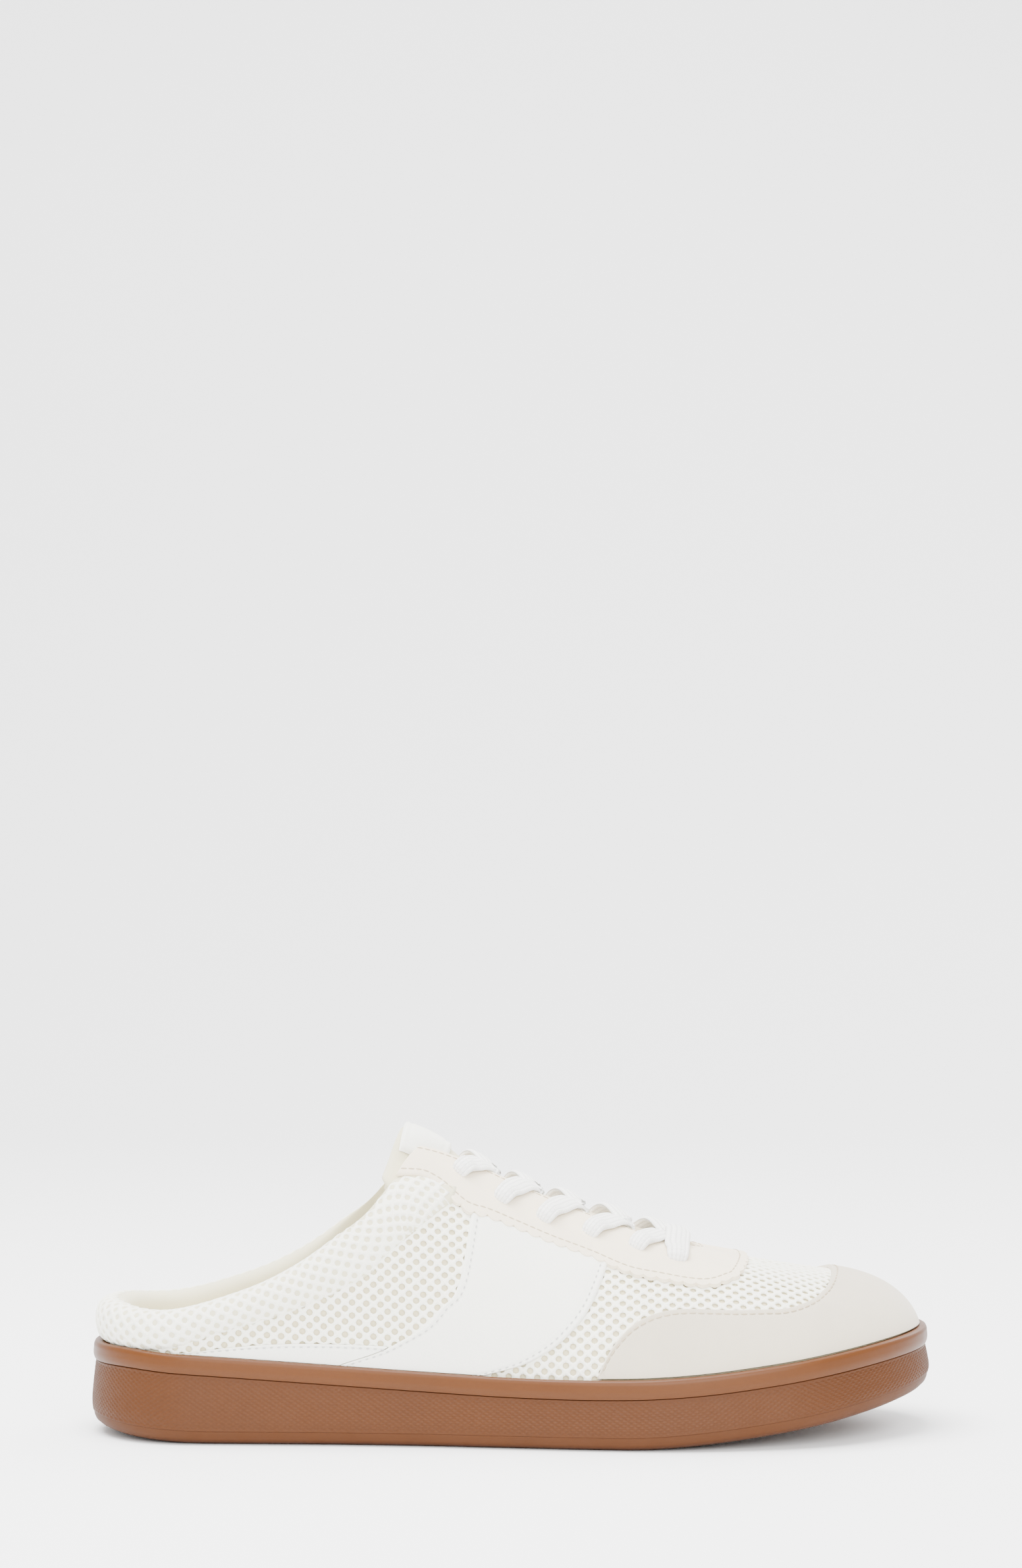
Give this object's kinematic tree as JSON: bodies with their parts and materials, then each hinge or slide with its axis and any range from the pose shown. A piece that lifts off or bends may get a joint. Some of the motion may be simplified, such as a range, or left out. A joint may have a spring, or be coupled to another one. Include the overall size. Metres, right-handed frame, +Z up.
{
  "type": "lace-up sneaker mule",
  "caption": "Backless lace-up sneaker mule with a low padded collar, perforated upper, suede toe cap and eyestay, plain side panels and a flat gum cupsole, right foot.",
  "frame": {"origin": "centre of the footprint on the floor", "axes": "+X towards the toe, -Y towards the lateral (outer) side, +Z up"},
  "size_m": [0.2716, 0.0982, 0.0988],
  "materials": {
    "gum_tread": "matte gum rubber with fine tread",
    "gum_wall": "matte gum rubber with a fine diamond relief",
    "gum_band": "smooth satin gum rubber",
    "lining_cloth": "soft cream lining",
    "white_mesh": "warm white mesh over a cream backing",
    "toe_suede": "pale suede with a short nap",
    "beige_suede": "beige suede with a short nap",
    "white_leather": "smooth satin leather with fine grain",
    "tongue_cloth": "padded cloth",
    "lace_cotton": "flat woven lace, ribbed along its length"
  },
  "bodies": {
    "root": {"outsole": "gum_tread", "midsole": "gum_wall", "foxing_band": "gum_band", "insole": "lining_cloth", "upper": "white_mesh", "toe_cap": "toe_suede", "eyestay": "beige_suede", "saddle_lateral": "white_leather", "saddle_medial": "white_leather", "rear_strip_lateral": "white_leather", "rear_strip_medial": "white_leather", "tongue": "tongue_cloth", "tongue_tab": "white_leather", "lace_bar": "lace_cotton", "lace_cross_1": "lace_cotton", "lace_cross_2": "lace_cotton", "lace_cross_3": "lace_cotton", "lace_cross_4": "lace_cotton", "lace_cross_5": "lace_cotton"}
  },
  "joints": []
}
